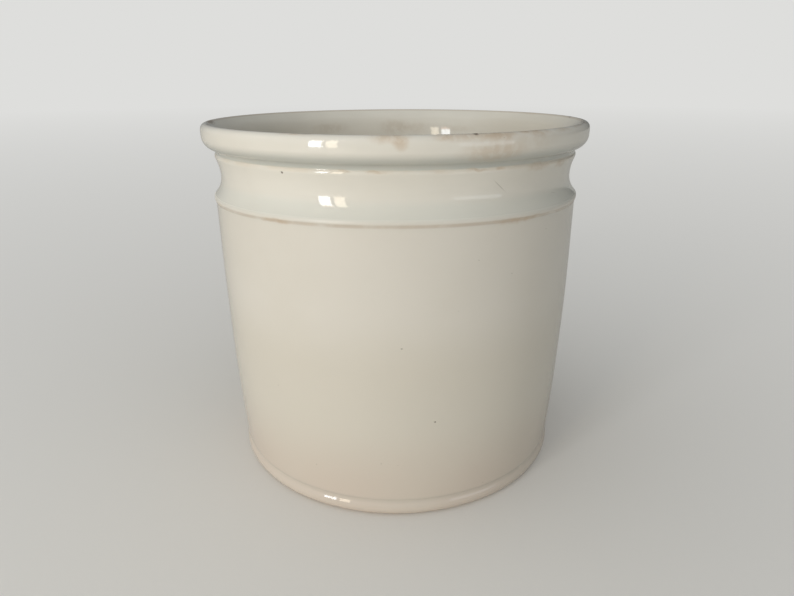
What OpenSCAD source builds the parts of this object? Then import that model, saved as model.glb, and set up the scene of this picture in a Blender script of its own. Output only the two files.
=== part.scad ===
// Open earthenware fermenting crock with a rolled rim, a tie-down neck and a foot bead,
// and the two half-moon weights that hold the food under its brine.
// Millimetres, +Z up, origin at the centre of the circle that the foot stands on.

/* [Crock] */
// Height from the surface it stands on to the crest of the rim
crock_h = 200; // [150:1:280]
// Outer radius of the body at its widest
belly_r = 104; // [95:0.5:130]
// Height at which the body stops widening
belly_z = 140; // [80:1:150]
// Thickness of the body's wall
wall = 8.5; // [5:0.5:11]
// Thickness of the floor
floor_t = 9; // [6:0.5:14]
// Radius of the hollow corner between floor and wall
corner_r = 10; // [6:0.5:20]

/* [Foot] */
// Outer radius of the bead around the foot
foot_r = 100; // [85:0.5:102]
// Radius of the bead's round section
bead_r = 5; // [3:0.25:8]
// Width of the quirk above the bead
quirk_w = 1.6; // [0.8:0.1:3]
// Depth of the quirk above the bead
quirk_d = 1.4; // [0.6:0.1:2.4]
// How far the body starts inside the bead's outer radius
foot_step = 0.5; // [0:0.1:2]
// Width of the flat ring that the crock stands on
ring_w = 7; // [4:0.5:15]
// How far the underside is hollowed inside the ring
foot_recess = 1.8; // [0.5:0.1:3]

/* [Neck] */
// Drop from the crest of the rim to the ridge
ridge_drop = 39.5; // [36:0.5:50]
// How far the ridge stands out from the body
ridge_out = 0.8; // [0.3:0.1:3]
// Radius of the ridge's round section
ridge_r = 2.25; // [2:0.25:6]
// Drop from the crest of the rim to the narrowest part of the neck
neck_drop = 27.6; // [22:0.2:30]
// How far the neck is sunk below the body's radius
neck_depth = 3.9; // [1.5:0.1:5]
// Drop from the crest of the rim to the corner of the lip
lip_drop = 17.3; // [15.5:0.1:20]
// How far the lip stands out from the narrowest part of the neck
lip_out = 2.4; // [0.5:0.1:4]
// Height of the lip's upright face
lip_h = 1.6; // [0.5:0.1:2]
// Depth of the quirk between the lip and the rim
lip_quirk_d = 0.9; // [0.3:0.1:1.5]

/* [Rim] */
// How far the rim stands out from the body
rim_out = 4.5; // [3:0.1:10]
// Height of the rolled rim
rim_h = 13.3; // [11:0.1:14.5]
// Radius of the rim's outer top edge
rim_top_r = 3.2; // [2.5:0.1:5.5]
// Width of the flat crest between the rim's outer edge and the bevel
crest_w = 0.4; // [0.2:0.1:2]
// Radius of the rim's underside
rim_roll_r = 7; // [3:0.1:8]

/* [Mouth] */
// Slope of the bevel inside the rim, in degrees from level
bevel_slope = 40; // [25:1:55]
// Radius that rounds the bevel into the upright wall of the mouth
throat_round_r = 8; // [3:0.5:12]
// How much narrower the mouth is than the belly inside
throat_step = 1; // [0.5:0.1:4]
// Height at which the upright wall of the mouth starts
throat_z = 152; // [145:1:165]
// Height over which the belly narrows into the mouth
throat_run = 12; // [6:1:20]

/* [Weights] */
// Thickness of each half-moon weight
weight_t = 18; // [12:0.5:30]
// Gap between the straight sides of the two weights
weight_gap = 4; // [1:0.5:12]
// Clearance between a weight's round edge and the hollow corner
weight_clear = 1; // [0.5:0.25:8]
// Radius that rounds the edges of each weight
weight_edge_r = 4; // [1:0.25:5.5]
// Radius of each weight's two corners, seen from above
weight_corner_r = 14; // [8:0.5:25]
// Radius of the finger hole
finger_r = 12; // [8:0.5:16]
// Radius that eases the mouths of the finger hole
finger_edge_r = 2.5; // [0.5:0.25:5]
// Distance of the finger hole from the weight's straight side
finger_inset = 36; // [28:0.5:48]

/* [Hidden] */

glaze_colour = "#e2dac6";
bisque_colour = "#b9a587";

$fn = 120;
// Straight steps that follow the body's long, slight curve to a hundredth of a millimetre
side_steps = 12;
// Sides on the rounded edges and corners of the weights
edge_fn = 24;
corner_fn = 48;
// How far a cut reaches past what it opens
cut = 1;
// How far a round section reaches past the line that it runs into, so that the two cross
join = 0.02;

// Foot and body, outside
bead_x = foot_r - bead_r;
body_low_z = 2 * bead_r + quirk_w / 2;
body_low_r = foot_r - foot_step;
side_rise = belly_z - body_low_z;
side_in = belly_r - body_low_r;
ring_in_r = bead_x - ring_w;

// Heights counted down from the crest
ridge_z = crock_h - ridge_drop;
neck_z = crock_h - neck_drop;
lip_z = crock_h - lip_drop;
rim_low_z = crock_h - rim_h;

// Neck: two hollow arcs that share the narrowest circle.
// The lower one runs into the ridge's round section without a corner.
neck_r = belly_r - neck_depth;
ridge_peak_r = belly_r + ridge_out;
ridge_x = ridge_peak_r - ridge_r;
ridge_rise = neck_z - ridge_z;
ridge_in = neck_r - ridge_x;
neck_low_r = (ridge_rise * ridge_rise + ridge_in * ridge_in - ridge_r * ridge_r)
    / (2 * (ridge_r - ridge_in));
neck_angle = atan2(ridge_rise, neck_low_r + ridge_in);
ridge_end = [ridge_x + ridge_r * cos(neck_angle), ridge_z + ridge_r * sin(neck_angle)];
lip_rise = lip_z - neck_z;
neck_top_r = (lip_rise * lip_rise + lip_out * lip_out) / (2 * lip_out);
lip_r = neck_r + lip_out;

// Rim and mouth
rim_r = belly_r + rim_out;
crest_r = rim_r - rim_top_r;
roll_z = rim_low_z + rim_roll_r;
inner_r = belly_r - wall;
throat_r = inner_r - throat_step;
mouth_top_z = max(crock_h, throat_z) + cut;

// Bevel inside the rim: from the crest down to a round section that touches the mouth's wall
bevel_r = crest_r - crest_w;
bevel_turn = 90 - bevel_slope;
bevel_l = (bevel_r - throat_r) / cos(bevel_slope);
round_r = min(throat_round_r, 0.9 * bevel_l / tan(bevel_turn / 2));
round_x = throat_r + round_r;
round_z = crock_h - bevel_l * sin(bevel_slope) - round_r * tan(bevel_turn / 2);
bevel_low = [round_x - (round_r - join) * cos(bevel_turn),
    round_z + (round_r - join) * sin(bevel_turn)];
bevel_top = [bevel_r + cut / tan(bevel_slope), crock_h + cut];

// Inside corner: a round section that touches the floor and runs into the side
floor_z = foot_recess + floor_t;
corner_z = floor_z + corner_r;
corner_angle = atan(side_slope(corner_z));
corner_end_z = corner_z - corner_r * sin(corner_angle);
corner_x = inner_r - side_drop(corner_end_z) - corner_r * cos(corner_angle) + join;

// Weights
weight_r = corner_x + weight_edge_r - weight_clear;
straight_x = weight_gap / 2;
core_r = weight_r - weight_corner_r;
core_x = straight_x + weight_corner_r;
core_y = sqrt(core_r * core_r - core_x * core_x);
core_angle = atan2(core_y, core_x);

// How far the side has left its widest radius at a height, inwards or outwards to the foot
function side_drop(z) = side_in * pow(max(0, belly_z - z) / side_rise, 2);

// How fast the side's radius changes with height
function side_slope(z) = 2 * side_in * max(0, belly_z - z) / pow(side_rise, 2);

// Points of the side between two heights
function side_points(widest_r, low_z, high_z) = [
    for (step = [0 : side_steps])
        let (z = low_z + (high_z - low_z) * step / side_steps)
            [widest_r - side_drop(z), z]];

// A rectangle between two corners
module panel(low, high) {
    translate(low) square(high - low);
}

// A round section of a turned profile
module disc(x, z, r) {
    translate([x, z]) circle(r);
}

// Bead, quirk and hollowed underside
module foot_section() {
    difference() {
        union() {
            disc(bead_x, bead_r, bead_r);
            panel([0, 0], [bead_x, bead_r]);
            panel([0, bead_r], [foot_r - quirk_d, body_low_z]);
        }
        polygon([[-cut, -cut], [ring_in_r, -cut], [ring_in_r, 0],
            [ring_in_r - foot_recess, foot_recess], [-cut, foot_recess]]);
    }
}

// Body up to the middle of the ridge
module body_section() {
    polygon(concat([[0, ridge_z], [0, body_low_z]],
        side_points(belly_r, body_low_z, ridge_z)));
}

// Ridge, hollow neck, lip, and the quirk under the rim
module neck_section() {
    disc(ridge_x, ridge_z, ridge_r);
    difference() {
        panel([0, ridge_z], [ridge_peak_r, lip_z]);
        panel([ridge_x, ridge_z - cut], [ridge_peak_r + cut, ridge_end.y]);
        intersection() {
            disc(neck_r + neck_low_r, neck_z, neck_low_r);
            panel([0, ridge_z], [ridge_peak_r + cut, neck_z]);
        }
        intersection() {
            disc(neck_r + neck_top_r, neck_z, neck_top_r);
            panel([0, neck_z], [ridge_peak_r + cut, lip_z + cut]);
        }
    }
    panel([0, lip_z], [lip_r, lip_z + lip_h]);
    panel([0, lip_z + lip_h], [lip_r - lip_quirk_d, roll_z]);
}

// Rolled rim: round underside, short upright side, round outer edge
module rim_section() {
    disc(rim_r - rim_roll_r, roll_z, rim_roll_r);
    disc(crest_r, crock_h - rim_top_r, rim_top_r);
    panel([0, roll_z], [crest_r, crock_h]);
    panel([0, roll_z], [rim_r, crock_h - rim_top_r]);
}

// The hollow inside, which opens out over the rim's bevel
module cavity_section() {
    polygon(concat([[-cut, mouth_top_z], [-cut, corner_end_z]],
        side_points(inner_r, corner_end_z, throat_z - throat_run),
        [[throat_r, throat_z], [throat_r, mouth_top_z]]));
    disc(corner_x, corner_z, corner_r);
    panel([-cut, floor_z], [corner_x, corner_end_z + cut]);
    difference() {
        polygon([[-cut, round_z], [round_x, round_z], bevel_low, bevel_top, [-cut, crock_h + cut]]);
        disc(round_x, round_z, round_r);
    }
}

module crock() {
    color(glaze_colour) rotate_extrude() difference() {
        union() {
            foot_section();
            body_section();
            neck_section();
            rim_section();
        }
        cavity_section();
    }
}

// Section of a weight's edge: flat on both sides and rounded at the outside
module weight_edge() {
    hull() for (z = [weight_edge_r, weight_t - weight_edge_r])
        translate([weight_corner_r - weight_edge_r, z]) circle(weight_edge_r, $fn = edge_fn);
    square([weight_corner_r - weight_edge_r, weight_t]);
}

// Half-moon slab, its straight side facing -X: a long rounded arc and two rounded corners
module half_moon() {
    hull() {
        rotate(-core_angle) rotate_extrude(angle = 2 * core_angle)
            translate([core_r, 0]) weight_edge();
        for (side = [-1, 1])
            translate([core_x, side * core_y, 0]) rotate_extrude($fn = corner_fn) weight_edge();
    }
}

// Finger hole with eased mouths
module finger_hole() {
    rotate_extrude() {
        panel([0, -cut], [finger_r, weight_t + cut]);
        difference() {
            panel([0, -cut], [finger_r + finger_edge_r, finger_edge_r]);
            disc(finger_r + finger_edge_r, finger_edge_r, finger_edge_r);
        }
        difference() {
            panel([0, weight_t - finger_edge_r], [finger_r + finger_edge_r, weight_t + cut]);
            disc(finger_r + finger_edge_r, weight_t - finger_edge_r, finger_edge_r);
        }
    }
}

module weight() {
    color(bisque_colour) translate([0, 0, floor_z]) difference() {
        half_moon();
        translate([straight_x + finger_inset, 0, 0]) finger_hole();
    }
}

module right_weight() {
    weight();
}

module left_weight() {
    rotate(180) weight();
}

crock();
left_weight();
right_weight();
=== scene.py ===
"""Looks of an open glazed crock and its two half-moon weights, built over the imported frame.

Lengths in the dataclasses are in millimetres and angles in degrees, as a potter would note
them. Every mesh is made in metres, in the frame's own axes, with +Z up and the front at -Y.
"""

from __future__ import annotations

import logging
import math
from dataclasses import dataclass
from enum import Enum
from typing import Union

import bpy
import numpy as np
from mathutils import Matrix, Vector, noise

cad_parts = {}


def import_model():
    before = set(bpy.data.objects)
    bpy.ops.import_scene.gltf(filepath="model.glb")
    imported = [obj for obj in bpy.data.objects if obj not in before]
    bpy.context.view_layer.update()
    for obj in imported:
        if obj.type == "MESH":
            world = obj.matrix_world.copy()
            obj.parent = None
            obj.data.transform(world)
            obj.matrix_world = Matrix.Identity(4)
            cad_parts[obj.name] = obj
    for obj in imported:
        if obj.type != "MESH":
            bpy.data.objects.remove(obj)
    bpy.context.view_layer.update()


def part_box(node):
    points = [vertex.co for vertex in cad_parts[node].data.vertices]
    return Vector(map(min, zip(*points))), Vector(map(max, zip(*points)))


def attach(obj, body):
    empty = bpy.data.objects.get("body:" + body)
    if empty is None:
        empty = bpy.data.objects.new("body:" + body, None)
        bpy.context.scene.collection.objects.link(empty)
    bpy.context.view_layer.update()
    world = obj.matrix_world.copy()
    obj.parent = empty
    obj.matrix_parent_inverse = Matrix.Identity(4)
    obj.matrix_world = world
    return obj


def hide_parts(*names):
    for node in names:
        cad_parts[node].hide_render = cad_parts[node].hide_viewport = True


MM = 0.001
log = logging.getLogger("crock")

# What a node's input may take.
Source = Union[bpy.types.Node, bpy.types.NodeSocket, float, tuple]

# Kinds and settings of nodes that recur. SMOOTH eases both ends of a range, and FALLING makes
# it run from 1 down to 0.
MATH, RANGE, NOISE = "ShaderNodeMath", "ShaderNodeMapRange", "ShaderNodeTexNoise"
VECTOR_MATH = "ShaderNodeVectorMath"
TIMES, PLUS, MINUS, OVER = ({"operation": name} for name in
                            ("MULTIPLY", "ADD", "SUBTRACT", "DIVIDE"))
SMOOTH = {"interpolation_type": "SMOOTHSTEP"}
FALLING = {"To Min": 1.0, "To Max": 0.0}


class Body(Enum):
    """The frame's bodies, which are also the names of its nodes."""

    CROCK = "crock"
    LEFT_WEIGHT = "left_weight"
    RIGHT_WEIGHT = "right_weight"


class Slot(Enum):
    """The record's material slots."""

    GLAZE = "glazed_earthenware"
    BISQUE = "bisque_stoneware"


def linear(colour: str) -> tuple[float, float, float, float]:
    """Turns an sRGB hex colour into the linear values that a node takes.

    Args:
        colour: The colour as #rrggbb.

    Returns:
        Linear red, green and blue, and an alpha of 1.
    """
    parts = [int(colour[at:at + 2], 16) / 255 for at in (1, 3, 5)]
    return (*((p / 12.92 if p <= 0.04045 else ((p + 0.055) / 1.055) ** 2.4) for p in parts), 1.0)


def add_node(tree: bpy.types.NodeTree, kind: str, settings: dict | None = None,
             inputs: dict | None = None) -> bpy.types.Node:
    """Adds one node with its settings, values and links.

    Args:
        tree: The tree that the node goes into.
        kind: The node's type.
        settings: Properties of the node, set before its inputs.
        inputs: Values, output sockets or nodes, by the input's name or number. A node gives
            its first output.

    Returns:
        The new node.
    """
    node = tree.nodes.new(kind)
    for name, value in (settings or {}).items():
        setattr(node, name, value)
    for key, value in (inputs or {}).items():
        if isinstance(value, bpy.types.Node):
            value = value.outputs[0]
        if isinstance(value, bpy.types.NodeSocket):
            tree.links.new(value, node.inputs[key])
        else:
            node.inputs[key].default_value = value
    return node


def new_piece(name: str, mesh: bpy.types.Mesh) -> bpy.types.Object:
    """Puts a mesh into the scene as an object at the origin.

    Args:
        name: The object's name.
        mesh: Its mesh, already in place.

    Returns:
        The object.
    """
    piece = bpy.data.objects.new(name, mesh)
    bpy.context.scene.collection.objects.link(piece)
    return piece


def arc(centre: tuple[float, float], radius: float, start: float, end: float,
        steps: int = 24) -> list[tuple[float, float]]:
    """Gives points along an arc of a turned outline.

    Args:
        centre: Radius and height of the arc's centre.
        radius: The arc's own radius.
        start: First angle, counted from straight outwards.
        end: Last angle.
        steps: How many straight steps follow the arc.

    Returns:
        Points as radius and height.
    """
    angles = [math.radians(start + (end - start) * step / steps) for step in range(steps + 1)]
    return [(centre[0] + radius * math.cos(a), centre[1] + radius * math.sin(a)) for a in angles]


@dataclass(frozen=True)
class Mark:
    """A stain, chip or speck on the crock, placed as on a potter's wheel.

    turn is counted from the front towards the right-hand side. wide, tall and deep are half of
    its extent along the wall, up it and into it, and slant tips it in the wall.
    """

    turn: float
    radius: float
    height: float
    wide: float
    tall: float
    strength: float
    deep: float = 1.5
    slant: float = 0.0

    def centre(self) -> Vector:
        """Returns the mark's place in metres."""
        turn = math.radians(self.turn)
        return Vector((self.radius * math.sin(turn), -self.radius * math.cos(turn), self.height)) * MM


@dataclass(frozen=True)
class Band:
    """A level band round the pot: its middle, half of its full width, and its soft edge."""

    level: float
    half: float
    feather: float


class Layers:
    """A finish in the making: its node tree and the colour laid so far."""

    def __init__(self, name: str, ground: str) -> None:
        """Starts a material with one even colour.

        Args:
            name: The finish's name.
            ground: The first colour as #rrggbb.
        """
        self.material = bpy.data.materials.new(name)
        self.material.use_nodes = True
        self.tree = self.material.node_tree
        self.tree.nodes.clear()
        self.place = add_node(self.tree, "ShaderNodeTexCoord").outputs["Object"]
        self.colour: Source = linear(ground)

    def lay(self, tint: str, mask: Source, share: float) -> None:
        """Lays a tint over the colour.

        Args:
            tint: The tint as #rrggbb.
            mask: The node or socket that says where, from 0 to 1.
            share: How much of the tint shows where the mask is 1.
        """
        amount = add_node(self.tree, MATH, TIMES, {0: mask, 1: share})
        self.colour = add_node(self.tree, "ShaderNodeMix", {"data_type": "RGBA"}, {
            0: amount, 6: self.colour, 7: linear(tint)}).outputs[2]

    def band(self, height: Source, band: Band, only: Source) -> bpy.types.Node:
        """Masks a level band round the pot.

        Args:
            height: The turned height in metres.
            band: Where the band lies and how wide it is.
            only: A mask that it is held to.

        Returns:
            The node that gives the mask.
        """
        away = add_node(self.tree, MATH, MINUS, {0: height, 1: band.level * MM})
        away = add_node(self.tree, MATH, {"operation": "ABSOLUTE"}, {0: away})
        mask = add_node(self.tree, RANGE, SMOOTH, {
            "Value": away, "From Min": band.half * MM,
            "From Max": (band.half + band.feather) * MM, **FALLING})
        return add_node(self.tree, MATH, TIMES, {0: mask, 1: only})

    def oval(self, place: Source, mark: Mark, solid: float, edge: float) -> bpy.types.Node:
        """Masks an oval patch that lies along the rim or the wall.

        Args:
            place: Coordinates in metres.
            mark: Where the patch lies and how large it is.
            solid: Share of its radius that is solid.
            edge: Share of its radius at which it has faded out.

        Returns:
            The node that gives the mask.
        """
        local = add_node(self.tree, "ShaderNodeMapping", {"vector_type": "TEXTURE"}, {
            "Vector": place, "Location": mark.centre(),
            "Rotation": (0.0, math.radians(mark.slant), math.radians(mark.turn)),
            "Scale": Vector((mark.wide, max(mark.tall, mark.deep), mark.tall)) * MM})
        reach = add_node(self.tree, VECTOR_MATH, {"operation": "LENGTH"}, {0: local})
        return add_node(self.tree, RANGE, SMOOTH, {
            "Value": reach.outputs["Value"], "From Min": solid, "From Max": edge, **FALLING})

    def relief(self, reliefs: tuple[tuple[Source, float], ...]) -> bpy.types.Node:
        """Builds one normal from several heights.

        Args:
            reliefs: Pairs of a height from 0 to 1 and what 1 is in millimetres, less than 0
                where it goes in.

        Returns:
            The node that gives the normal.
        """
        normal = None
        for height, rise in reliefs:
            inputs = {"Height": height, "Distance": abs(rise) * MM, "Strength": 1.0}
            if normal is not None:
                inputs["Normal"] = normal
            normal = add_node(self.tree, "ShaderNodeBump", {"invert": rise < 0}, inputs)
        return normal

    def finish(self, roughness: Source, normal: bpy.types.Node, ior: float) -> bpy.types.Material:
        """Closes the finish with its shader.

        Args:
            roughness: The node or value of its roughness.
            normal: The node of its relief.
            ior: How strongly it mirrors.

        Returns:
            The finished material.
        """
        shader = add_node(self.tree, "ShaderNodeBsdfPrincipled", inputs={
            "Base Color": self.colour, "Roughness": roughness, "Normal": normal, "IOR": ior})
        add_node(self.tree, "ShaderNodeOutputMaterial", inputs={"Surface": shader})
        return self.material


@dataclass(frozen=True)
class CrockGlaze:
    """Clear glaze over a cream earthenware body, dipped and fired glossy.

    The glaze is a thin glass, so the colour is the clay's and the gloss is sharp. It runs thin
    on edges, where the clay shows warmer, and pools blue-grey in hollows, a tint that also paints
    their shade. Painted shade also lies at the foot's contact line, down the lower body, on the
    ridge's nose and inside the mouth, and the inside is painted lighter. A _range gives the
    levels of a pattern between which it comes in, and a speck's size is a share of its cell.
    """

    cream: str = "#e4dfd4"
    body_cream: str = "#dbd5ca"
    # A darker cream: laid at random as the glaze's mottling, and down the lower body as painted shade.
    mottled_and_shaded_cream: str = "#d3ccbe"
    # Lighter than the outside glaze: painted light for the light that falls into the mouth.
    painted_light_inside_cream: str = "#ebe6da"
    # Brown-grey of the brine's tide line, also painted shade inside the mouth.
    tide_stain_and_shade: str = "#b3a68f"
    warm_foot: str = "#c6ae9e"
    # Blue-grey of glaze pooled in hollows, which also paints the shade under the rim and in the foot's
    # groove.
    pooled_glaze_and_shade: str = "#a4aaa5"
    thick: str = "#cdd1c8"
    iron_line: str = "#a98a6a"
    # Brown of the iron and food stains, also used for the painted contact shadow at the foot's bottom.
    stain_and_contact_shadow: str = "#b59062"
    smear: str = "#a58a66"
    thin_edge: str = "#d9bd9b"
    chip: str = "#5a4433"
    speck: str = "#6d6047"
    bare_clay: str = "#c9b08a"
    gloss: float = 0.03
    smudged_gloss: float = 0.065
    bare_roughness: float = 0.85
    ior: float = 1.5
    cloud_mm: float = 55.0
    smudge_mm: float = 14.0
    cloud_range: tuple[float, float] = (0.35, 0.70)
    cloud_share: float = 0.30
    patch_range: tuple[float, float] = (0.28, 0.58)
    smudge_range: tuple[float, float] = (0.3, 0.8)
    stray_mm: float = 9.0
    stray_reach: float = 1.7
    scuff_mm: float = 3.4
    scuff_range: tuple[float, float] = (0.36, 0.58)
    scuff_least: float = 0.55
    stain_share: float = 0.52
    smear_share: float = 0.42
    # Share of the washes, which are partly brine stains and partly painted shade.
    wash_and_shade_share: float = 0.5
    patch_solid: float = 0.35
    patch_edge: float = 1.25
    ripple_mm: float = 22.0
    ripple_height: float = 0.012
    peel_mm: float = 1.8
    peel_height: float = 0.0012
    turning_mm: float = 3.2
    turning_height: float = 0.003
    turning_stretch: float = 8.0
    speck_mm: float = 9.0
    speck_size: tuple[float, float] = (0.018, 0.034)
    speck_share: float = 0.38
    speck_tone: float = 0.55
    chip_depth: float = 0.35
    worn_ridge_gloss: float = 0.38
    lip_clear: tuple[float, float] = (184.1, 184.9)
    body: Band = Band(79.9, 79.4, 1.5)
    # Painted shade: the lower body darker towards the foot.
    shade: Band = Band(45.0, 40.0, 35.0)
    warmth: Band = Band(6.0, 6.0, 50.0)
    # Painted shadow: a dark line along the foot's bottom, where it meets the floor.
    contact_shadow: Band = Band(0.0, 0.8, 1.6)
    # Pooled glaze and painted shade under the rim's roll.
    quirk_pool_and_shade: Band = Band(186.6, 1.2, 5.5)
    neck_pool: Band = Band(164.4, 2.6, 5.0)
    # Pooled glaze and painted shade in the groove over the foot's bead.
    groove_pool_and_shade: Band = Band(10.2, 0.8, 1.8)
    # Painted shade: the ridge's nose darker, toning down its bright reflection of the floor.
    ridge_nose_shade: Band = Band(160.7, 0.9, 1.2)
    step_line: Band = Band(159.8, 0.25, 1.1)
    lip_line: Band = Band(183.9, 0.5, 1.0)
    rubbed_ridge: Band = Band(161.2, 1.2, 1.2)
    crest_line: Band = Band(199.6, 0.2, 0.5)
    crest_line_share: float = 0.30
    # Partly a brine tide line, partly painted shade on the inner wall below the shoulder.
    tide_and_shade_band: Band = Band(98.75, 98.75, 2.5)
    tide_wave: float = 9.0
    tide_and_shade_share: float = 0.09

    def marks(self) -> list[Mark]:
        """Returns the iron and food stains along the rim, the lip and the step."""
        return [
            Mark(-1.2, 106.3, 199.0, 9.5, 3.4, 0.72, 4.0),
            Mark(1.1, 107.7, 197.2, 3.8, 3.6, 0.60, 3.0),
            Mark(-24.0, 105.6, 199.8, 10.0, 1.3, 0.65),
            Mark(11.0, 106.6, 199.0, 6.0, 2.0, 0.55, 2.5),
            Mark(18.0, 105.9, 199.4, 18.0, 2.8, 0.70, 4.0),
            Mark(25.5, 106.4, 199.2, 8.0, 2.8, 0.55, 4.0),
            Mark(23.5, 107.6, 191.8, 17.0, 5.4, 0.50, 5.0),
            Mark(33.0, 105.8, 199.8, 9.0, 1.4, 0.9),
            Mark(37.0, 106.6, 199.2, 9.0, 2.0, 0.55, 2.5),
            Mark(47.0, 106.4, 199.3, 8.0, 1.8, 0.55),
            Mark(30.0, 107.4, 196.5, 30.0, 6.0, 0.26, 6.0),
            Mark(58.0, 105.6, 199.8, 9.0, 1.2, 0.60),
            Mark(68.0, 105.4, 199.8, 8.0, 1.2, 0.60),
            Mark(-66.0, 105.3, 199.8, 7.0, 0.9, 0.60),
            Mark(41.5, 102.3, 182.9, 9.0, 2.4, 0.55),
            Mark(53.0, 102.2, 182.4, 7.0, 2.4, 0.55),
            Mark(20.8, 102.5, 184.3, 6.0, 0.8, 0.65),
            Mark(27.0, 102.5, 184.1, 3.0, 0.8, 0.60),
            Mark(-12.2, 102.5, 184.3, 3.0, 0.7, 0.55),
            Mark(-4.8, 102.5, 184.3, 5.0, 0.7, 0.50),
            Mark(-32.0, 104.3, 160.0, 16.0, 1.4, 0.60),
            Mark(33.5, 104.3, 160.0, 18.0, 1.6, 0.60),
            Mark(122.0, 106.6, 199.0, 12.0, 3.0, 0.55),
            Mark(-138.0, 106.8, 198.8, 9.0, 2.4, 0.50),
        ]

    def smears(self) -> list[Mark]:
        """Returns the grey-brown smears that the brine left inside the mouth."""
        return [
            Mark(-179.4, 96.0, 188.0, 12.0, 5.6, 0.50, 3.0),
            Mark(171.0, 95.8, 187.5, 13.0, 4.2, 0.36, 3.0),
            Mark(-151.0, 96.2, 188.2, 15.0, 4.2, 0.45, 3.0),
            Mark(152.0, 96.6, 187.5, 14.0, 2.6, 0.30, 3.0),
        ]

    def washes_and_shade(self) -> list[Mark]:
        """Returns broad thin brine stains inside the mouth, also painted shade on the lit right wall."""
        return [
            Mark(112.0, 92.0, 190.0, 62.0, 16.0, 0.62, 26.0),
        ]

    def chips(self) -> list[Mark]:
        """Returns the small chips, scratches and dark pits."""
        return [
            Mark(18.8, 105.8, 199.9, 1.4, 0.9, 1.0),
            Mark(-83.0, 105.0, 199.4, 10.0, 2.8, 0.50, 3.5),
            Mark(28.2, 100.6, 175.8, 5.2, 0.18, 0.28, 2.0, 38.0),
            Mark(51.5, 101.4, 168.0, 3.0, 0.14, 0.18, 2.0, 12.0),
            Mark(-30.0, 102.3, 182.3, 0.6, 0.6, 0.9),
            Mark(11.0, 102.3, 59.6, 0.45, 0.45, 0.8),
            Mark(1.5, 103.6, 101.6, 0.5, 0.4, 0.5),
            Mark(96.0, 104.9, 200.0, 1.2, 0.8, 0.9),
        ]

    def build(self) -> bpy.types.Material:
        """Builds the glaze.

        Returns:
            The finished material.
        """
        coat = Layers("clear_glaze_on_cream_earthenware", self.cream)
        tree, place = coat.tree, coat.place
        turning = add_node(tree, "ShaderNodeAttribute", {"attribute_name": "turning"})
        turned = add_node(tree, "ShaderNodeSeparateXYZ", inputs={0: turning.outputs["Vector"]})
        height, outside, bare = turned.outputs
        inside = add_node(tree, MATH, MINUS, {0: 1.0, 1: outside})
        cloud, smudge = (add_node(tree, NOISE, inputs={
            "Vector": place, "Scale": 1 / (size * MM), "Detail": detail})
            for size, detail in ((self.cloud_mm, 3.0), (self.smudge_mm, 4.0)))
        clouds, patchy, above_lip = (add_node(tree, RANGE, SMOOTH, {
            "Value": value, "From Min": low, "From Max": high}) for value, low, high in (
                (cloud, *self.cloud_range), (smudge, *self.patch_range),
                (height, *(level * MM for level in self.lip_clear))))
        above_lip, worn = (add_node(tree, MATH, TIMES, {0: mask, 1: outside})
                           for mask in (above_lip, patchy))
        for tint, share, band, only in (
                (self.body_cream, 1.0, self.body, outside),
                # Painted shade down the lower body.
                (self.mottled_and_shaded_cream, 0.75, self.shade, outside),
                (self.warm_foot, 0.38, self.warmth, outside),
                # Painted contact shadow along the foot's bottom.
                (self.stain_and_contact_shadow, 0.45, self.contact_shadow, outside),
                # Pooled glaze and painted shade under the rim.
                (self.pooled_glaze_and_shade, 0.64, self.quirk_pool_and_shade, above_lip),
                (self.thick, 0.34, self.neck_pool, outside),
                # Pooled glaze and painted shade in the foot's groove.
                (self.pooled_glaze_and_shade, 0.16, self.groove_pool_and_shade, outside),
                # Painted shade on the ridge's nose.
                (self.body_cream, 0.85, self.ridge_nose_shade, outside),
                (self.iron_line, 0.32, self.step_line, worn),
                (self.thin_edge, 0.20, self.lip_line, worn)):
            coat.lay(tint, coat.band(height, band, only), share)
        # The whole inside in a lighter cream, as painted light.
        coat.lay(self.painted_light_inside_cream, inside, 1.0)
        # Darker below a wavy line inside: partly a tide stain, partly painted shade under the lit
        # shoulder.
        waving = add_node(tree, MATH, {"operation": "MULTIPLY_ADD"}, {
            0: cloud, 1: self.tide_wave * MM, 2: height})
        coat.lay(self.tide_stain_and_shade, coat.band(waving, self.tide_and_shade_band, inside), self.tide_and_shade_share)
        coat.lay(self.iron_line, coat.band(height, self.crest_line, inside), self.crest_line_share)
        coat.lay(self.mottled_and_shaded_cream, clouds, self.cloud_share)
        self.lay_stains(coat)
        self.lay_specks(coat)
        pits = self.lay_chips(coat)
        coat.lay(self.bare_clay, bare, 1.0)
        gloss = add_node(tree, RANGE, inputs={
            "Value": smudge, "From Min": self.smudge_range[0], "From Max": self.smudge_range[1],
            "To Min": self.gloss, "To Max": self.smudged_gloss})
        rubbed = coat.band(height, self.rubbed_ridge, outside)
        dull = add_node(tree, MATH, {"operation": "MAXIMUM"}, {0: bare, 1: pits})
        roughness = gloss
        for mask, dullness in ((rubbed, self.worn_ridge_gloss), (dull, self.bare_roughness)):
            roughness = add_node(tree, "ShaderNodeMix", {"data_type": "FLOAT"}, {
                0: mask, 2: roughness, 3: dullness})
        return coat.finish(roughness, self.relief(coat, pits), self.ior)

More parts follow.
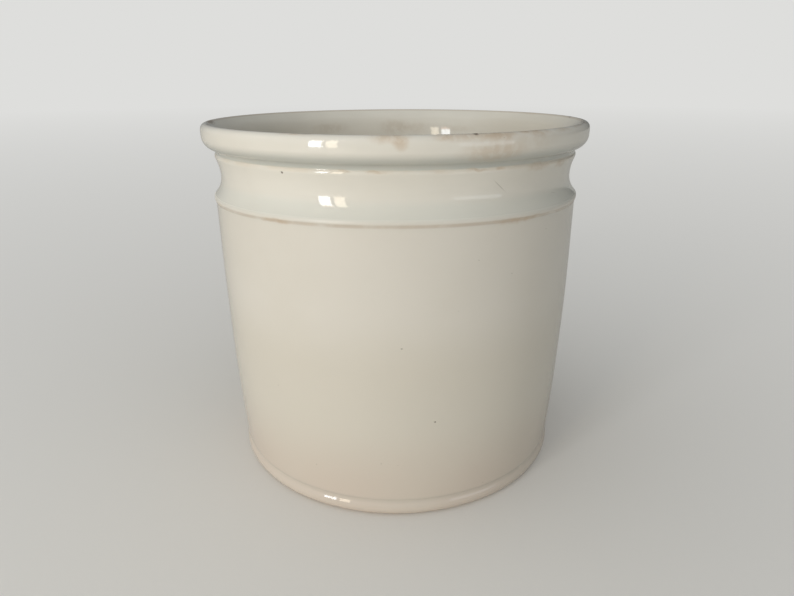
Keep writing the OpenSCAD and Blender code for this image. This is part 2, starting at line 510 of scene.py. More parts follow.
    def lay_stains(self, coat: Layers) -> None:
        """Lays stains, smears and washes (partly painted shade), with straying edges and a worn grain.

        Args:
            coat: The finish so far.
        """
        wander, scuff = (add_node(coat.tree, NOISE, inputs={
            "Vector": coat.place, "Scale": 1 / (size * MM), "Detail": detail})
            for size, detail in ((self.stray_mm, 3.0), (self.scuff_mm, 5.0)))
        reach = self.stray_reach * MM
        shift = add_node(coat.tree, VECTOR_MATH, {"operation": "MULTIPLY_ADD"}, {
            0: wander.outputs["Color"], 1: (2 * reach,) * 3, 2: (-reach,) * 3})
        strayed = add_node(coat.tree, VECTOR_MATH, PLUS, {0: coat.place, 1: shift})
        scuff = add_node(coat.tree, RANGE, SMOOTH, {
            "Value": scuff, "From Min": self.scuff_range[0], "From Max": self.scuff_range[1],
            "To Min": self.scuff_least})
        for tint, share, grain, marks in (
                (self.stain_and_contact_shadow, self.stain_share, scuff, self.marks()),
                (self.smear, self.smear_share, scuff, self.smears()),
                (self.tide_stain_and_shade, self.wash_and_shade_share, 1.0, self.washes_and_shade())):
            for mark in marks:
                patch = coat.oval(strayed, mark, self.patch_solid, self.patch_edge)
                patch = add_node(coat.tree, MATH, TIMES, {0: patch, 1: grain})
                coat.lay(tint, patch, share * mark.strength)

    def lay_specks(self, coat: Layers) -> None:
        """Lays the small iron specks that sit under the glaze.

        Args:
            coat: The finish so far.
        """
        cells = add_node(coat.tree, "ShaderNodeTexVoronoi", inputs={
            "Vector": coat.place, "Scale": 1 / (self.speck_mm * MM)})
        speck = add_node(coat.tree, RANGE, SMOOTH, {
            "Value": cells.outputs["Distance"], "From Min": self.speck_size[0],
            "From Max": self.speck_size[1], **FALLING})
        drawn = add_node(coat.tree, "ShaderNodeSeparateXYZ", inputs={0: cells.outputs["Color"]})
        drawn = add_node(coat.tree, MATH, {"operation": "LESS_THAN"}, {
            0: drawn, 1: self.speck_share})
        shown = add_node(coat.tree, MATH, TIMES, {0: speck, 1: drawn})
        coat.lay(self.speck, shown, self.speck_tone)

    def lay_chips(self, coat: Layers) -> Source:
        """Lays the chips and pits.

        Args:
            coat: The finish so far.

        Returns:
            The node that masks all of them.
        """
        pits: Source = 0.0
        for chip in self.chips():
            pit = coat.oval(coat.place, chip, self.patch_solid, self.patch_edge)
            pit = add_node(coat.tree, MATH, TIMES, {0: pit, 1: chip.strength})
            coat.lay(self.chip, pit, 1.0)
            pits = add_node(coat.tree, MATH, {"operation": "MAXIMUM"}, {0: pits, 1: pit})
        return pits

    def relief(self, coat: Layers, pits: Source) -> bpy.types.Node:
        """Builds the slight ripple, the turning marks, the fine peel and the pits.

        Args:
            coat: The finish so far.
            pits: The mask of the chips.

        Returns:
            The node that gives the normal.
        """
        level = add_node(coat.tree, "ShaderNodeMapping", inputs={
            "Vector": coat.place, "Scale": (1 / self.turning_stretch, 1 / self.turning_stretch, 1.0)})
        heights = [add_node(coat.tree, NOISE, inputs={
            "Vector": place, "Scale": 1 / (size * MM), "Detail": detail}) for place, size, detail in (
                (coat.place, self.ripple_mm, 1.5), (level, self.turning_mm, 2.0),
                (coat.place, self.peel_mm, 2.0))]
        rises = (self.ripple_height, self.turning_height, self.peel_height)
        return coat.relief((*zip(heights, rises), (pits, -self.chip_depth)))


@dataclass(frozen=True)
class BisqueClay:
    """Unglazed stoneware, fired once from a grogged clay: matt, sandy, and stained by brine.

    The real sand is finer than half a millimetre, and is drawn coarser so that it shows.
    """

    clay: str = "#c3ab86"
    pale_clay: str = "#d3c09f"
    soaked: str = "#9b8159"
    grog: str = "#7c6444"
    ior: float = 1.45
    cloud_mm: float = 26.0
    pale_range: tuple[float, float] = (0.38, 0.66)
    damp_range: tuple[float, float] = (0.25, 0.60)
    soaked_share: float = 0.55
    roughness_range: tuple[float, float] = (0.72, 0.95)
    grain_mm: float = 0.7
    grain_height: float = 0.06
    grog_mm: float = 2.6
    grog_size: tuple[float, float] = (0.10, 0.22)
    grog_share: float = 0.45
    dent_mm: float = 9.0
    dent_height: float = 0.20

    def build(self) -> bpy.types.Material:
        """Builds the clay.

        Returns:
            The finished material.
        """
        coat = Layers("unglazed_grogged_stoneware", self.clay)
        tree, place = coat.tree, coat.place
        cloud, grain, dent = (add_node(tree, NOISE, inputs={
            "Vector": place, "Scale": 1 / (size * MM), "Detail": detail})
            for size, detail in ((self.cloud_mm, 4.0), (self.grain_mm, 3.0), (self.dent_mm, 2.0)))
        pale, damp = (add_node(tree, RANGE, SMOOTH, {
            "Value": cloud, "From Min": low, "From Max": high})
            for low, high in (self.pale_range, self.damp_range))
        coat.lay(self.pale_clay, pale, 1.0)
        handled = add_node(tree, "ShaderNodeAttribute", {"attribute_name": "handled"})
        soaked = add_node(tree, MATH, TIMES, {0: handled.outputs["Fac"], 1: damp})
        coat.lay(self.soaked, soaked, self.soaked_share)
        cells = add_node(tree, "ShaderNodeTexVoronoi", inputs={
            "Vector": place, "Scale": 1 / (self.grog_mm * MM)})
        fleck = add_node(tree, RANGE, SMOOTH, {
            "Value": cells.outputs["Distance"], "From Min": self.grog_size[0],
            "From Max": self.grog_size[1], **FALLING})
        coat.lay(self.grog, fleck, self.grog_share)
        roughness = add_node(tree, RANGE, inputs={
            "Value": grain, "To Min": self.roughness_range[0], "To Max": self.roughness_range[1]})
        normal = coat.relief(((dent, self.dent_height), (grain, self.grain_height)))
        return coat.finish(roughness, normal, self.ior)


@dataclass
class Crock:
    """The crock, turned from one outline that a node tree sweeps round the axis."""

    body_radius: float = 104.0
    belly_height: float = 140.0
    wall: float = 8.5
    floor: float = 9.0
    corner: float = 10.0
    foot_radius: float = 100.0
    bead: float = 5.0
    quirk: float = 1.6
    quirk_depth: float = 1.4
    foot_step: float = 0.5
    ring: float = 7.0
    recess: float = 1.8
    ridge_drop: float = 38.8
    ridge_out: float = 0.8
    ridge: float = 2.25
    neck_drop: float = 27.6
    neck_depth: float = 3.9
    lip_drop: float = 17.3
    lip_out: float = 2.4
    lip_face: float = 1.6
    lip_lean: float = 0.28
    lip_quirk: float = 0.9
    rim_drop: float = 13.3
    rim_edge: float = 3.2
    rim_roll: float = 7.0
    cove: float = 2.3
    crest_flat: float = 0.4
    bevel_slope: float = 40.0
    throat_round: float = 4.5
    throat_step: float = 1.0
    flare_height: float = 170.0
    flare: float = 80.0
    flare_start: float = 155.0
    throat_height: float = 152.0
    throat_run: float = 12.0
    glaze_round: float = 0.40
    glaze_fill: float = 1.2
    rings: int = 188
    turns: int = 480
    path_step: float = 0.15
    longest_step: float = 7.0
    sharpest_turn: float = 9.0
    bend_window: int = 7
    bare_height: float = 0.6
    bare_from: float = 80.0
    wobble: float = 0.45
    wobble_climb: float = 9.0
    lift: float = 0.9
    lift_reach: float = 38.0
    weld: float = 0.005
    seed: int = 4

    def side(self, widest: float, low: float, high: float, steps: int = 40) -> list[tuple[float, float]]:
        """Gives the body's long slight curve between two heights.

        Args:
            widest: Radius at the belly.
            low: Lower height.
            high: Upper height.
            steps: How many steps follow it.

        Returns:
            Points as radius and height.
        """
        foot_height = 2 * self.bead + self.quirk / 2
        narrowing = self.body_radius - self.foot_radius + self.foot_step
        rise = self.belly_height - foot_height
        heights = [low + (high - low) * step / steps for step in range(steps + 1)]
        return [(widest - narrowing * (max(0.0, self.belly_height - z) / rise) ** 2, z)
                for z in heights]

    def foot_outline(self) -> list[tuple[float, float]]:
        """Gives the outline from the underside's centre to the top of the quirk over the bead.

        Returns:
            Points as radius and height.
        """
        bead_x = self.foot_radius - self.bead
        ring_in = bead_x - self.ring
        quirk_x = self.foot_radius - self.quirk_depth
        rise = math.degrees(math.acos((quirk_x - bead_x) / self.bead))
        return [(0.0, self.recess), (ring_in - self.recess, self.recess), (ring_in, 0.0),
                *arc((bead_x, self.bead), self.bead, -90.0, rise),
                (quirk_x, 2 * self.bead + self.quirk / 2)]

    def neck_outline(self, top: float) -> list[tuple[float, float]]:
        """Gives the outline from the ridge to the quirk under the rim.

        Args:
            top: Height of the crest.

        Returns:
            Points as radius and height.
        """
        ridge_x = self.body_radius + self.ridge_out - self.ridge
        ridge_z = top - self.ridge_drop
        neck_x = self.body_radius - self.neck_depth
        neck_z = top - self.neck_drop
        lip_z = top - self.lip_drop
        rise, inward = neck_z - ridge_z, neck_x - ridge_x
        hollow = (rise ** 2 + inward ** 2 - self.ridge ** 2) / (2 * (self.ridge - inward))
        meet = math.degrees(math.atan2(rise, hollow + inward))
        flare_rise = lip_z - neck_z
        flare = (flare_rise ** 2 + self.lip_out ** 2) / (2 * self.lip_out)
        flare_end = math.degrees(math.asin(flare_rise / flare))
        step = math.degrees(math.acos((self.body_radius - ridge_x) / self.ridge))
        lip_x = neck_x + self.lip_out
        return [*arc((ridge_x, ridge_z), self.ridge, -step, meet),
                *arc((neck_x + hollow, neck_z), hollow, 180 + meet, 180.0),
                *arc((neck_x + flare, neck_z), flare, 180.0, 180 - flare_end),
                (lip_x - self.lip_lean, lip_z + self.lip_face),
                (lip_x - self.lip_quirk, lip_z + self.lip_face)]

    def rim_outline(self, top: float, rim_radius: float) -> list[tuple[float, float]]:
        """Gives the rolled rim's outline from its underside over the crest into the mouth.

        Args:
            top: Height of the crest.
            rim_radius: The rim's outer radius.

        Returns:
            Points as radius and height.
        """
        quirk_x = self.body_radius - self.neck_depth + self.lip_out - self.lip_quirk
        roll_x = rim_radius - self.rim_roll
        roll_z = top - self.rim_drop + self.rim_roll
        cove_x = quirk_x + self.cove
        across = cove_x - roll_x
        drop = math.sqrt((self.rim_roll + self.cove) ** 2 - across ** 2)
        meet = math.degrees(math.atan2(drop, -across))
        crest_x = rim_radius - self.rim_edge
        throat_x = self.body_radius - self.wall - self.throat_step
        bevel_x = crest_x - self.crest_flat
        slope = math.tan(math.radians(self.bevel_slope))
        wall = [(x, z) for x, z in arc((throat_x + self.flare, self.flare_height), self.flare,
                                       self.flare_start, 180.0, 60) if z < top - (bevel_x - x) * slope]
        brow = Vector(wall[0])
        above = brow + (Vector((bevel_x, top)) - brow).normalized() * self.throat_round
        below = next(i for i, point in enumerate(wall)
                     if (Vector(point) - brow).length > self.throat_round)
        shares = [step / 12 for step in range(13)]
        return [*arc((cove_x, roll_z - drop), self.cove, 180.0, meet, 12),
                *arc((roll_x, roll_z), self.rim_roll, meet - 180, 0.0),
                *arc((crest_x, top - self.rim_edge), self.rim_edge, 0.0, 90.0),
                (bevel_x, top),
                *(above.lerp(brow, t).lerp(brow.lerp(Vector(wall[below]), t), t).to_tuple()
                  for t in shares),
                *wall[below:]]

    def inside_outline(self) -> list[tuple[float, float]]:
        """Gives the outline from the mouth down to the floor's centre.

        Returns:
            Points as radius and height.
        """
        inner = self.body_radius - self.wall
        floor_z = self.recess + self.floor
        corner_z = floor_z + self.corner
        wall_x = self.side(inner, corner_z, corner_z, 1)[0][0]
        return [(inner - self.throat_step, self.throat_height),
                *reversed(self.side(inner, corner_z, self.throat_height - self.throat_run)),
                *arc((wall_x - self.corner, corner_z), self.corner, 0.0, -90.0),
                (0.0, floor_z)]

    def outline(self, top: float, rim_radius: float) -> np.ndarray:
        """Joins the whole outline, softens it as glaze does, and spaces its points by curve.

        Args:
            top: Height of the crest.
            rim_radius: The rim's outer radius.

        Returns:
            One row for each ring: radius, height, outside flag and bare-clay flag.
        """
        foot_height = 2 * self.bead + self.quirk / 2
        drop = math.sqrt(self.ridge ** 2 - (self.ridge - self.ridge_out) ** 2)
        outer = [*self.foot_outline(),
                 *self.side(self.body_radius, foot_height, top - self.ridge_drop - drop),
                 *self.neck_outline(top), *self.rim_outline(top, rim_radius)]
        points = np.array([*outer, *self.inside_outline()])
        run = np.concatenate(([0.0], np.cumsum(np.hypot(*np.diff(points, axis=0).T))))
        step = self.path_step
        fine = np.arange(0.0, run[-1], step)
        path = np.stack([np.interp(fine, run, points[:, i]) for i in range(2)], axis=1)
        soft, filled = (self.soften(path, size / step) for size in (self.glaze_round, self.glaze_fill))
        ahead = np.gradient(soft, axis=0)
        outwards = np.column_stack([ahead[:, 1], -ahead[:, 0]])
        outwards /= np.linalg.norm(outwards, axis=1)[:, None]
        fill = np.einsum("ij,ij->i", filled - soft, outwards)
        soft += outwards * np.maximum(fill, 0.0)[:, None]
        slope = np.unwrap(np.arctan2(*np.gradient(soft, axis=0).T[::-1]))
        bend = np.abs(np.gradient(slope)) / step
        bend = np.convolve(bend, np.ones(self.bend_window) / self.bend_window, "same")
        density = 1 / self.longest_step + bend / math.radians(self.sharpest_turn)
        share = np.cumsum(density)
        share = (share - share[0]) / (share[-1] - share[0])
        at = np.interp(np.linspace(0, 1, self.rings), share, np.arange(len(fine)))
        rings = np.stack([np.interp(at, np.arange(len(fine)), soft[:, i]) for i in range(2)], axis=1)
        rings[0, 0] = rings[-1, 0] = 0.0
        rings[:, 1] = np.maximum(rings[:, 1], 0.0)
        crest = int(np.argmax(rings[:, 1]))
        order = np.arange(self.rings)
        bare = (order < crest) & (rings[:, 1] < self.bare_height) & (rings[:, 0] > self.bare_from)
        return np.column_stack([rings, order <= crest, bare])

    @staticmethod
    def soften(path: np.ndarray, size: float) -> np.ndarray:
        """Rounds a path's corners.

        Args:
            path: Evenly spaced points.
            size: How far each point looks along the path, in steps.

        Returns:
            The softened points.
        """
        reach = int(4 * size)
        weights = np.exp(-0.5 * (np.arange(-reach, reach + 1) / size) ** 2)
        weights /= weights.sum()
        padded = np.pad(path, ((reach, reach), (0, 0)), mode="reflect", reflect_type="odd")
        return np.stack([np.convolve(padded[:, i], weights, "valid") for i in range(2)], axis=1)

    def outline_mesh(self, rows: np.ndarray) -> bpy.types.Mesh:
        """Makes the outline a strip of points that carry the flags the glaze reads.

        Args:
            rows: The outline's rings.

        Returns:
            A mesh of points joined by edges.
        """
        mesh = bpy.data.meshes.new("crock_outline")
        points = [(r * MM, 0.0, z * MM) for r, z, _, _ in rows]
        mesh.from_pydata(points, [(i, i + 1) for i in range(len(points) - 1)], [])
        flags = mesh.attributes.new("turning", "FLOAT_VECTOR", "POINT")
        values = np.column_stack([rows[:, 1] * MM, rows[:, 2], rows[:, 3]])
        flags.data.foreach_set("vector", values.astype(np.float32).ravel())
        return mesh

    def turning_tree(self) -> bpy.types.NodeTree:
        """Builds the node tree that turns an outline into a pot.

        Returns:
            The tree, with its sizes as named inputs.
        """
        tree = bpy.data.node_groups.new("turn_outline", "GeometryNodeTree")
        face = tree.interface
        for name, kind in (("Outline", "Geometry"), ("Turns", "Int"), ("Wobble", "Float"),
                           ("Front Lift", "Float"), ("Lift Height", "Float"),
                           ("Rim Radius", "Float"), ("Seed", "Float"), ("Finish", "Material")):
            face.new_socket(name, in_out="INPUT", socket_type="NodeSocket" + kind)
        face.new_socket("Pot", in_out="OUTPUT", socket_type="NodeSocketGeometry")
        given = add_node(tree, "NodeGroupInput").outputs
        outline = {"Geometry": given["Outline"]}

        # The sheet's columns are turns round the axis, and its rows are the outline's rings.
        count = add_node(tree, "GeometryNodeAttributeDomainSize", inputs=outline)
        count = count.outputs["Point Count"]
        columns = add_node(tree, MATH, PLUS, {0: given["Turns"], 1: 1.0})
        sheet = add_node(tree, "GeometryNodeMeshGrid", inputs={
            "Vertices X": columns, "Vertices Y": count})
        index = add_node(tree, "GeometryNodeInputIndex")
        ring = add_node(tree, MATH, {"operation": "MODULO"}, {0: index, 1: count})
        column = add_node(tree, MATH, OVER, {0: index, 1: count})
        column = add_node(tree, MATH, {"operation": "FLOOR"}, {0: column})
        turn = add_node(tree, MATH, OVER, {0: column, 1: given["Turns"]})
        turn = add_node(tree, MATH, {"operation": "MULTIPLY_ADD"}, {
            0: turn, 1: math.tau, 2: math.pi / 2})
        across, along = (add_node(tree, MATH, {"operation": name}, {0: turn})
                         for name in ("COSINE", "SINE"))
        flags = add_node(tree, "GeometryNodeInputNamedAttribute",
                         {"data_type": "FLOAT_VECTOR"}, {"Name": "turning"}).outputs["Attribute"]
        point, flags = (add_node(
            tree, "GeometryNodeSampleIndex", {"data_type": "FLOAT_VECTOR", "domain": "POINT"},
            {**outline, "Value": value, "Index": ring})
            for value in (add_node(tree, "GeometryNodeInputPosition"), flags))
        point = add_node(tree, "ShaderNodeSeparateXYZ", inputs={0: point})
        radius, height = point.outputs["X"], point.outputs["Z"]

        # The wall wanders in and out, most at the rim and not at all on the axis.
        direction = add_node(tree, "ShaderNodeCombineXYZ", inputs={0: across, 1: along, 2: 0.0})
        climb = add_node(tree, MATH, TIMES, {0: height, 1: self.wobble_climb})
        seeded = add_node(tree, "ShaderNodeCombineXYZ", inputs={0: across, 1: along, 2: climb})
        unevenness = add_node(tree, NOISE, {"noise_dimensions": "4D"}, {
            "Vector": seeded, "W": given["Seed"], "Scale": 1.0, "Detail": 1.0})
        unevenness = add_node(tree, RANGE, inputs={
            "Value": unevenness, "From Min": 0.25, "From Max": 0.75,
            "To Min": -1.0, "To Max": 1.0})
        outwards = add_node(tree, MATH, OVER, {0: radius, 1: given["Rim Radius"]})
        push = add_node(tree, MATH, TIMES, {0: unevenness, 1: given["Wobble"]})
        radius = add_node(tree, MATH, {"operation": "MULTIPLY_ADD"}, {
            0: push, 1: outwards, 2: radius})

        # The ridge rises at the front and the back and falls at the two sides.
        nearby = add_node(tree, MATH, MINUS, {0: height, 1: given["Lift Height"]})
        nearby = add_node(tree, MATH, {"operation": "ABSOLUTE"}, {0: nearby})
        nearby = add_node(tree, RANGE, SMOOTH, {
            "Value": nearby, "From Min": 0.0, "From Max": self.lift_reach * MM, **FALLING})
        twice = add_node(tree, MATH, TIMES, {0: turn, 1: 2.0})
        saddle = add_node(tree, MATH, {"operation": "COSINE"}, {0: twice})
        for factor in (nearby, given["Front Lift"]):
            saddle = add_node(tree, MATH, TIMES, {0: saddle, 1: factor})
        height = add_node(tree, MATH, MINUS, {0: height, 1: saddle})

        flat = add_node(tree, VECTOR_MATH, {"operation": "SCALE"}, {0: direction, "Scale": radius})
        flat = add_node(tree, "ShaderNodeSeparateXYZ", inputs={0: flat}).outputs
        place = add_node(tree, "ShaderNodeCombineXYZ", inputs={0: flat["X"], 1: flat["Y"], 2: height})
        pot = add_node(tree, "GeometryNodeSetPosition", inputs={"Geometry": sheet, "Position": place})
        pot = add_node(tree, "GeometryNodeStoreNamedAttribute",
                       {"data_type": "FLOAT_VECTOR", "domain": "POINT"},
                       {"Geometry": pot, "Name": "turning", "Value": flags})
        pot = add_node(tree, "GeometryNodeMergeByDistance", inputs={
            "Geometry": pot, "Distance": self.weld * MM})
        for kind in ("GeometryNodeSetShadeSmooth", "GeometryNodeRealizeInstances"):
            pot = add_node(tree, kind, inputs={"Geometry": pot})
        pot = add_node(tree, "GeometryNodeSetMaterial", inputs={
            "Geometry": pot, "Material": given["Finish"]})
        add_node(tree, "NodeGroupOutput", inputs={0: pot})
        return tree

    def build(self, finish: bpy.types.Material) -> bpy.types.Object:
        """Turns the crock and gives it its glaze.

        Args:
            finish: The glaze.

        Returns:
            The finished piece, riding on the crock's body.
        """
        _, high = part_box(Body.CROCK.value)
        top, rim_radius = high.z / MM, high.x / MM
        holder = new_piece("crock_outline", self.outline_mesh(self.outline(top, rim_radius)))
        tree = self.turning_tree()
        modifier = holder.modifiers.new("turning", "NODES")
        modifier.node_group = tree
        sizes = {"Turns": self.turns, "Wobble": self.wobble * MM, "Front Lift": self.lift * MM,
                 "Lift Height": (top - self.ridge_drop) * MM, "Rim Radius": rim_radius * MM,
                 "Seed": float(self.seed), "Finish": finish}
        for item in tree.interface.items_tree:
            if item.in_out == "INPUT" and item.name in sizes:
                modifier[item.identifier] = sizes[item.name]
        graph = bpy.context.evaluated_depsgraph_get()
        mesh = bpy.data.meshes.new_from_object(
            holder.evaluated_get(graph), preserve_all_data_layers=True, depsgraph=graph)
        bpy.data.objects.remove(holder)
        mesh.name = "turned_crock"
        face_outwards(mesh)
        piece = new_piece("turned_crock", mesh)
        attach(piece, Body.CROCK.value)
        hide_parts(Body.CROCK.value)
        return piece


def face_outwards(mesh: bpy.types.Mesh) -> None:
    """Turns a closed mesh's faces outwards if its volume comes out negative.

    Args:
        mesh: The mesh, which is changed in place.
    """
    corners = np.empty(len(mesh.vertices) * 3)
    mesh.vertices.foreach_get("co", corners)
    corners = corners.reshape(-1, 3)
    mesh.calc_loop_triangles()
    triangles = np.empty(len(mesh.loop_triangles) * 3, dtype=np.int32)
    mesh.loop_triangles.foreach_get("vertices", triangles)
    a, b, c = (corners[triangles.reshape(-1, 3)[:, i]] for i in range(3))
    if np.einsum("ij,ij->i", a, np.cross(b, c)).sum() < 0:
        mesh.flip_normals()


@dataclass
class HalfMoonWeight:
    """A half-moon weight: a slab cut from clay, its edges rounded and its finger hole eased."""

    body: Body
    edge: float = 4.0
    corner: float = 14.0
    finger: float = 12.0
    finger_ease: float = 2.5
    finger_inset: float = 36.0
    around: int = 288
    edge_steps: int = 9
    hole_steps: int = 6
    face_steps: int = 9
    unevenness: float = 0.22
    lump: float = 17.0
    flat: float = 0.5
    seed: int = 3

    def outline(self, straight: float, far: float) -> tuple[np.ndarray, np.ndarray]:
        """Gives the slab's outline seen from above, for a weight on the +X side.

        Args:
            straight: Distance of the straight side from the axis.
            far: Radius of the round side.

        Returns:
            Points of the outline and their outward directions.
        """
        core = far - self.corner
        centre_x = straight + self.corner
        centre_y = math.sqrt(core ** 2 - centre_x ** 2)
        bend = math.degrees(math.atan2(centre_y, centre_x))
        points = [*arc((0.0, 0.0), far, -bend, bend, 400),
                  *arc((centre_x, centre_y), self.corner, bend, 180.0, 120),
                  *arc((centre_x, -centre_y), self.corner, 180.0, 360 - bend, 120)]
        points = np.array([*points, points[0]])
        run = np.concatenate(([0.0], np.cumsum(np.hypot(*np.diff(points, axis=0).T))))
        at = np.linspace(0.0, run[-1], self.around, endpoint=False)
        even = np.stack([np.interp(at, run, points[:, i]) for i in range(2)], axis=1)
        ahead = np.roll(even, -1, axis=0) - np.roll(even, 1, axis=0)
        ahead /= np.linalg.norm(ahead, axis=1)[:, None]
        return even, np.column_stack([ahead[:, 1], -ahead[:, 0]])

    def section(self, thick: float) -> list[tuple[float, float, float]]:
        """Gives one section of the slab, from the finger hole out and back.

        Args:
            thick: The slab's thickness.

        Returns:
            Rows of share of the way outwards, offset of the nearer edge, and height.
        """
        ease, edge = self.finger_ease, self.edge
        shares = [step / self.face_steps for step in range(1, self.face_steps)]
        hole = [*arc((0.0, ease), ease, -90.0, -180.0, self.hole_steps),
                *arc((0.0, thick - ease), ease, 180.0, 90.0, self.hole_steps)]
        side = [*arc((0.0, thick - edge), edge, 90.0, 0.0, self.edge_steps),
                *arc((0.0, edge), edge, 0.0, -90.0, self.edge_steps)]
        return [*((0.0, ease + x, z) for x, z in hole), *((share, 0.0, thick) for share in shares),
                *((1.0, edge - x, z) for x, z in side),
                *((share, 0.0, 0.0) for share in reversed(shares))]

    def mesh(self) -> bpy.types.Mesh:
        """Builds the slab round its finger hole.

        Returns:
            A closed mesh in place.
        """
        low, high = (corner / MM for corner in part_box(self.body.value))
        side = 1.0 if high.x > 0 else -1.0
        straight, far = sorted((abs(low.x), abs(high.x)))
        thick = high.z - low.z
        edge, outwards = self.outline(straight, far)
        centre = np.array([straight + self.finger_inset, 0.0])
        towards = edge - centre
        towards /= np.linalg.norm(towards, axis=1)[:, None]
        rings, handled = [], []
        for share, offset, z in self.section(thick):
            mouth = centre + towards * (self.finger + (self.finger_ease if share > 0 else offset))
            brim = edge - outwards * (offset if share == 1.0 else self.edge)
            flat = mouth * (1 - share) + brim * share
            rings.append(np.column_stack([flat, np.full(len(flat), z)]))
            handled.append(np.full(len(flat), 1.0 if share in (0.0, 1.0) else 0.0))
        points = np.array(rings)
        # Without a seed the lumps would come out differently in each run.
        noise.seed_set(self.seed)
        for point in points.reshape(-1, 3):
            lump = noise.noise_vector(Vector(point) / self.lump) * self.unevenness
            if point[2] <= self.flat:
                lump.zero()
            elif point[2] >= thick - self.flat:
                lump.xy = (0.0, 0.0)
            point += lump
        count, around = points.shape[:2]
        places = points.reshape(-1, 3)
        places[:, :2] *= side
        places[:, 2] += low.z
        quads = [(i * around + j, i * around + (j + 1) % around,
                  (i + 1) % count * around + (j + 1) % around, (i + 1) % count * around + j)
                 for i in range(count) for j in range(around)]
        mesh = bpy.data.meshes.new(self.body.value + "_slab")
        mesh.from_pydata((places * MM).tolist(), [], quads)
        mesh.polygons.foreach_set("use_smooth", [True] * len(mesh.polygons))
        worn = mesh.attributes.new("handled", "FLOAT", "POINT")
        worn.data.foreach_set("value", np.array(handled).ravel().astype(np.float32))
        mesh.update()
        face_outwards(mesh)
        return mesh

    def build(self, finish: bpy.types.Material) -> bpy.types.Object:
        """Builds the weight and gives it its clay.

        Args:
            finish: The bisque clay.

        Returns:
            The finished piece, riding on its own body.
        """
        mesh = self.mesh()
        mesh.materials.append(finish)
        piece = new_piece(self.body.value + "_slab", mesh)
        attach(piece, self.body.value)
        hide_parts(self.body.value)
        return piece


@dataclass(frozen=True)
class Opening:
    """A lit opening in the room's wall.

    turns are counted from the front towards the right, and heights are in metres.
    """

    name: str
    turns: tuple[float, float]
    heights: tuple[float, float]
    radiance: float
    tint: str


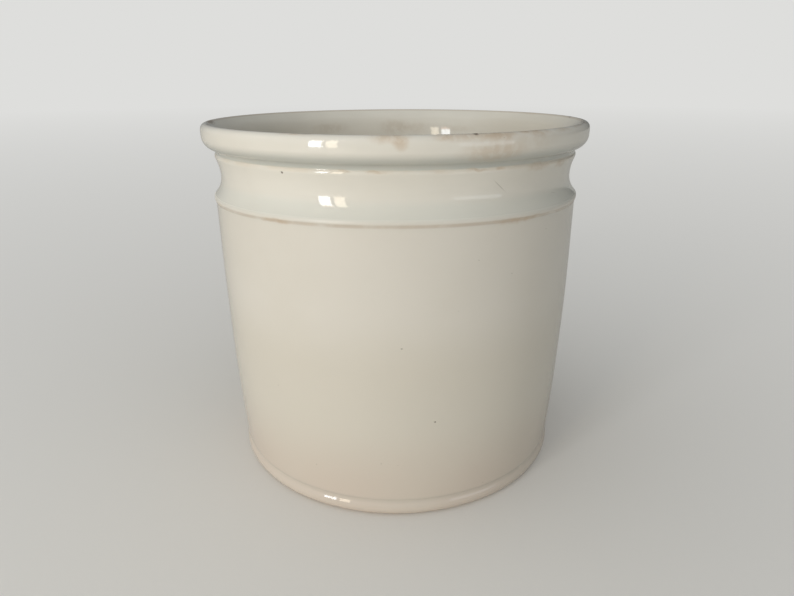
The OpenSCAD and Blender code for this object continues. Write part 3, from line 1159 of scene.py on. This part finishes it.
@dataclass
class Studio:
    """Pale floor, plain surroundings, a two-pane window on the left, a doorway and the camera.

    Its own lengths are in metres.
    """

    floor_colour: str = "#e4e0d9"
    surround_colour: str = "#dededc"
    floor_radii: tuple[float, ...] = (0.2, 0.5, 1.0, 2.0, 4.0, 9.0)
    floor_sides: int = 96
    floor_roughness: float = 0.9
    fibre: float = 0.002
    fibre_height: float = 0.00005
    floor_glow: float = 0.12
    fade_start: float = 0.11
    fade_end: float = 5.0
    ambient: float = 0.375
    from_right: float = -0.56
    from_front: float = 0.56
    from_above: float = 0.40
    ambient_tint: tuple[float, float, float, float] = (0.97, 1.0, 1.005, 1.0)
    wall_distance: float = 1.2
    openings: tuple[Opening, ...] = (
        Opening("pane_on_the_sky", (-46.0, -38.4), (0.02, 0.63), 9.5, "#f6fbff"),
        Opening("blind", (-46.0, -38.4), (0.63, 0.73), 3.6, "#ffd3bd"),
        Opening("pane_on_a_wall", (-36.0, -29.6), (0.02, 0.73), 5.6, "#fff0d6"),
        Opening("doorway", (33.0, 65.0), (0.04, 0.26), 1.2, "#eef6ff"),
    )
    camera_place: tuple[float, float, float] = (0.00056, -0.36044, 0.22246)
    camera_tilt: float = 20.31
    camera_roll: float = -0.25
    lens: float = 27.07
    sensor: float = 36.0
    nearest: float = 0.01

    def floor(self) -> bpy.types.Object:
        """Lays a round pale floor that fades into the surroundings.

        Returns:
            The floor.
        """
        around, radii = self.floor_sides, self.floor_radii
        points = [(r * math.cos(math.tau * j / around), r * math.sin(math.tau * j / around), 0.0)
                  for r in radii for j in range(around)]
        faces = [(i * around + j, (i + 1) * around + j, (i + 1) * around + (j + 1) % around,
                  i * around + (j + 1) % around) for i in range(len(radii) - 1) for j in range(around)]
        mesh = bpy.data.meshes.new("floor")
        mesh.from_pydata([*points, (0.0, 0.0, 0.0)], [], [
            *faces, *[(len(points), j, (j + 1) % around) for j in range(around)]])
        mesh.materials.append(self.floor_finish())
        floor = new_piece("floor", mesh)
        return floor

    def floor_finish(self) -> bpy.types.Material:
        """Builds a matt pale card, whose far part takes the colour of the surroundings.

        Returns:
            The finished material.
        """
        material = bpy.data.materials.new("pale_matt_card")
        material.use_nodes = True
        tree = material.node_tree
        tree.nodes.clear()
        place = add_node(tree, "ShaderNodeTexCoord").outputs["Object"]
        away = add_node(tree, VECTOR_MATH, {"operation": "LENGTH"}, {0: place})
        doublings = add_node(tree, MATH, {"operation": "LOGARITHM"}, {
            0: away.outputs["Value"], 1: 2.0})
        far = add_node(tree, RANGE, inputs={
            "Value": doublings, "From Min": math.log2(self.fade_start),
            "From Max": math.log2(self.fade_end), "To Min": self.floor_glow})
        seen = add_node(tree, "ShaderNodeLightPath").outputs["Is Camera Ray"]
        share = add_node(tree, MATH, TIMES, {0: far, 1: seen})
        fibre = add_node(tree, NOISE, inputs={
            "Vector": place, "Scale": 1 / self.fibre, "Detail": 2.0})
        relief = add_node(tree, "ShaderNodeBump", inputs={
            "Height": fibre, "Distance": self.fibre_height})
        card = add_node(tree, "ShaderNodeBsdfPrincipled", inputs={
            "Base Color": linear(self.floor_colour), "Roughness": self.floor_roughness,
            "Normal": relief})
        glow = add_node(tree, "ShaderNodeEmission", inputs={"Color": linear(self.surround_colour)})
        mix = add_node(tree, "ShaderNodeMixShader", inputs={0: share, 1: card, 2: glow})
        add_node(tree, "ShaderNodeOutputMaterial", inputs={0: mix})
        return material

    def surroundings(self) -> None:
        """Sets the room's soft light, and the pale colour that only the camera sees."""
        world = bpy.data.worlds.new("room")
        bpy.context.scene.world = world
        world.use_nodes = True
        tree = world.node_tree
        tree.nodes.clear()
        towards = add_node(tree, "ShaderNodeTexCoord").outputs["Object"]
        lean = Vector((self.from_right, -self.from_front, self.from_above)) * self.ambient
        share = add_node(tree, VECTOR_MATH, {"operation": "DOT_PRODUCT"}, {0: towards, 1: lean})
        strength = add_node(tree, MATH, PLUS, {0: share.outputs["Value"], 1: self.ambient})
        room = add_node(tree, "ShaderNodeBackground", inputs={
            "Color": self.ambient_tint, "Strength": strength})
        seen = add_node(tree, "ShaderNodeBackground", inputs={
            "Color": linear(self.surround_colour), "Strength": 1.0})
        rays = add_node(tree, "ShaderNodeLightPath").outputs["Is Camera Ray"]
        mix = add_node(tree, "ShaderNodeMixShader", inputs={0: rays, 1: room, 2: seen})
        add_node(tree, "ShaderNodeOutputWorld", inputs={0: mix})

    def open_wall(self, opening: Opening) -> bpy.types.Object:
        """Hangs a lit opening round the crock, facing it.

        Args:
            opening: Where it is, how bright and of what colour.

        Returns:
            The lamp.
        """
        start, end = (math.radians(turn) for turn in opening.turns)
        low, high = opening.heights
        light = bpy.data.lights.new(opening.name, "AREA")
        light.shape = "RECTANGLE"
        light.size = self.wall_distance * 2 * math.tan((end - start) / 2)
        light.size_y = high - low
        light.color = linear(opening.tint)[:3]
        # A rectangle of this power has the opening's radiance on its face.
        light.energy = 4 * light.size * light.size_y * opening.radiance
        lamp = bpy.data.objects.new(opening.name, light)
        bpy.context.scene.collection.objects.link(lamp)
        middle = (start + end) / 2
        outward = Vector((math.sin(middle), -math.cos(middle), 0.0))
        lamp.location = outward * self.wall_distance + Vector((0.0, 0.0, (low + high) / 2))
        lamp.rotation_euler = outward.to_track_quat("Z", "Y").to_euler()
        lamp.visible_camera = False
        return lamp

    def camera(self) -> bpy.types.Object:
        """Places the camera and makes it the scene's own.

        Returns:
            The camera.
        """
        data = bpy.data.cameras.new("camera")
        data.lens = self.lens
        data.sensor_width = self.sensor
        data.clip_start = self.nearest
        camera = bpy.data.objects.new("camera", data)
        bpy.context.scene.collection.objects.link(camera)
        turn = (Matrix.Rotation(math.radians(90 - self.camera_tilt), 4, "X")
                @ Matrix.Rotation(math.radians(self.camera_roll), 4, "Z"))
        camera.matrix_world = Matrix.Translation(self.camera_place) @ turn
        bpy.context.scene.camera = camera
        return camera

    def build(self) -> None:
        """Sets up the whole studio."""
        bpy.context.scene.view_settings.view_transform = "Standard"
        self.floor()
        self.surroundings()
        for opening in self.openings:
            self.open_wall(opening)
        self.camera()


def main() -> None:
    """Builds the studio, the crock and its weights in order."""
    logging.basicConfig(level=logging.INFO, format="%(message)s")
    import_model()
    Studio().build()
    log.info("studio: floor, room, window and camera")
    pieces = [Crock().build(CrockGlaze().build())]
    clay = BisqueClay().build()
    pieces += [HalfMoonWeight(body).build(clay) for body in (Body.LEFT_WEIGHT, Body.RIGHT_WEIGHT)]
    for piece in pieces:
        log.info("%s: %d faces", piece.name, len(piece.data.polygons))


if __name__ == "__main__":
    main()
